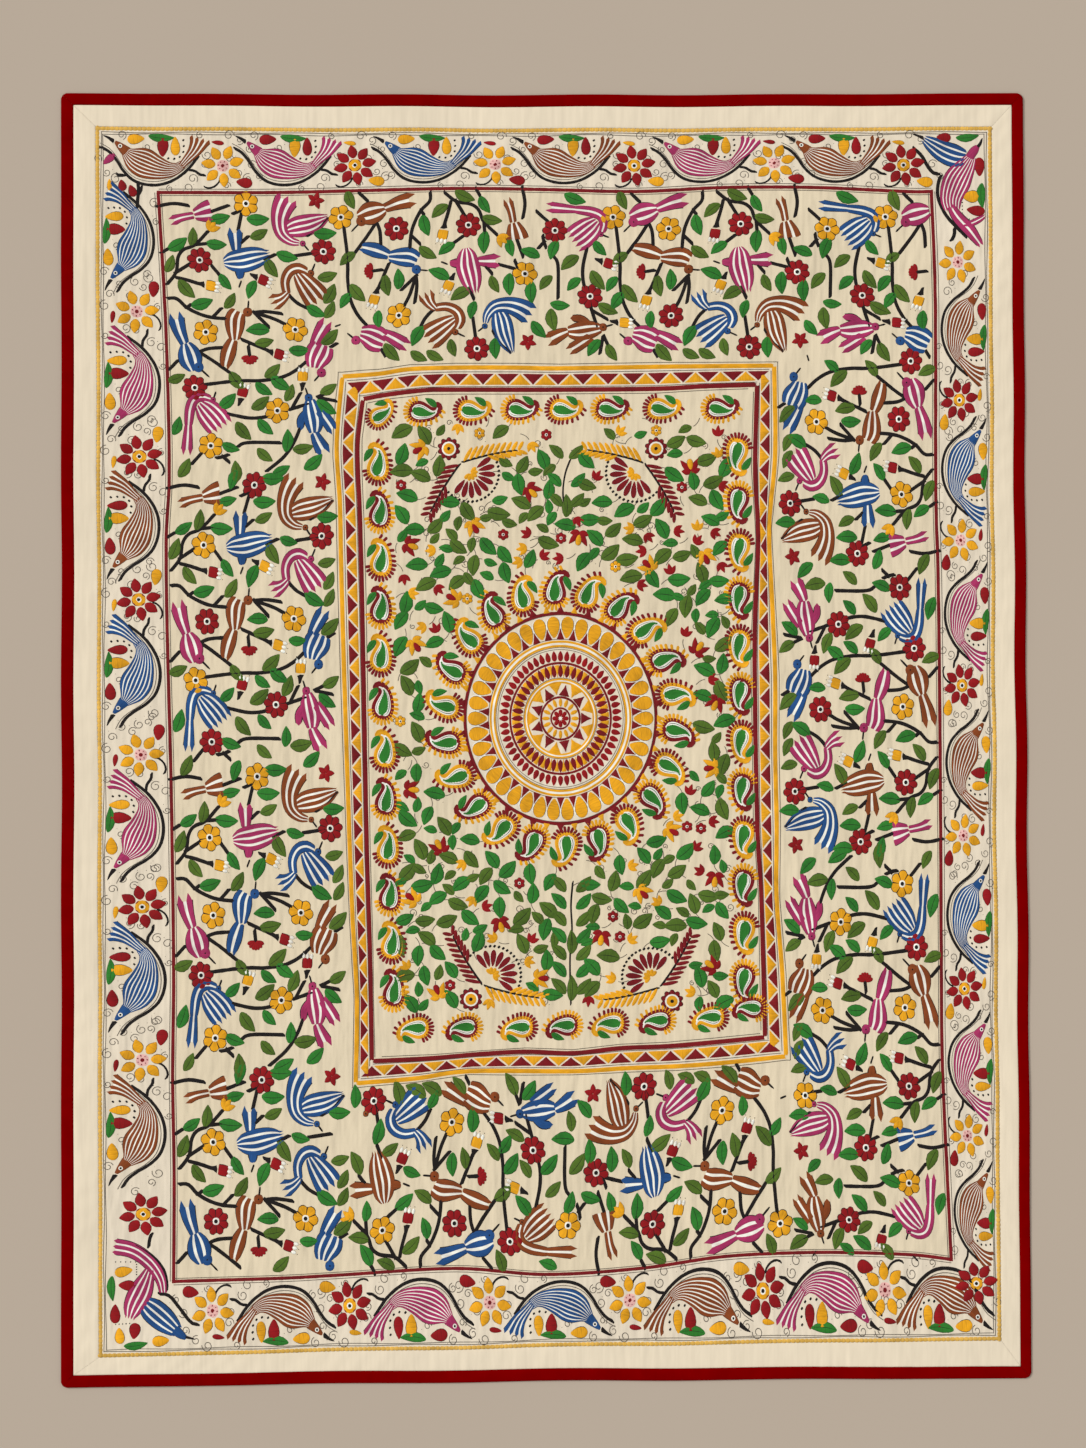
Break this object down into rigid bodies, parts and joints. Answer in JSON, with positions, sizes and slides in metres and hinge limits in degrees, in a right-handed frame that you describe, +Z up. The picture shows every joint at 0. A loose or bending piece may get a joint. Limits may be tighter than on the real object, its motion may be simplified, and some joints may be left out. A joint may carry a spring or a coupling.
{
  "type": "quilted embroidered bedspread",
  "caption": "Thin quilted cotton bedspread laid flat, with an embroidered panel, mitred cream margins and a mitred dark red tape binding.",
  "frame": {"origin": "under the middle of the cloth's bounding box, on the surface that it lies on", "axes": "+Z up from the face, +Y to the head end, +X to the right of a viewer who stands at the foot end"},
  "size_m": [1.808, 2.412, 0.0051],
  "materials": {
    "embroidered_cotton": "layered cream cotton, quilted with running stitch and embroidered in coloured cotton threads",
    "cream_cotton": "plain woven undyed cotton, matt, softly puckered",
    "dark_red_tape": "plain woven dark red cotton tape, folded over the edge and stitched down"
  },
  "bodies": {
    "root": {"quilt_panel": "embroidered_cotton", "margin_head": "cream_cotton", "margin_right": "cream_cotton", "margin_foot": "cream_cotton", "margin_left": "cream_cotton", "binding_head": "dark_red_tape", "binding_right": "dark_red_tape", "binding_foot": "dark_red_tape", "binding_left": "dark_red_tape"}
  },
  "joints": []
}
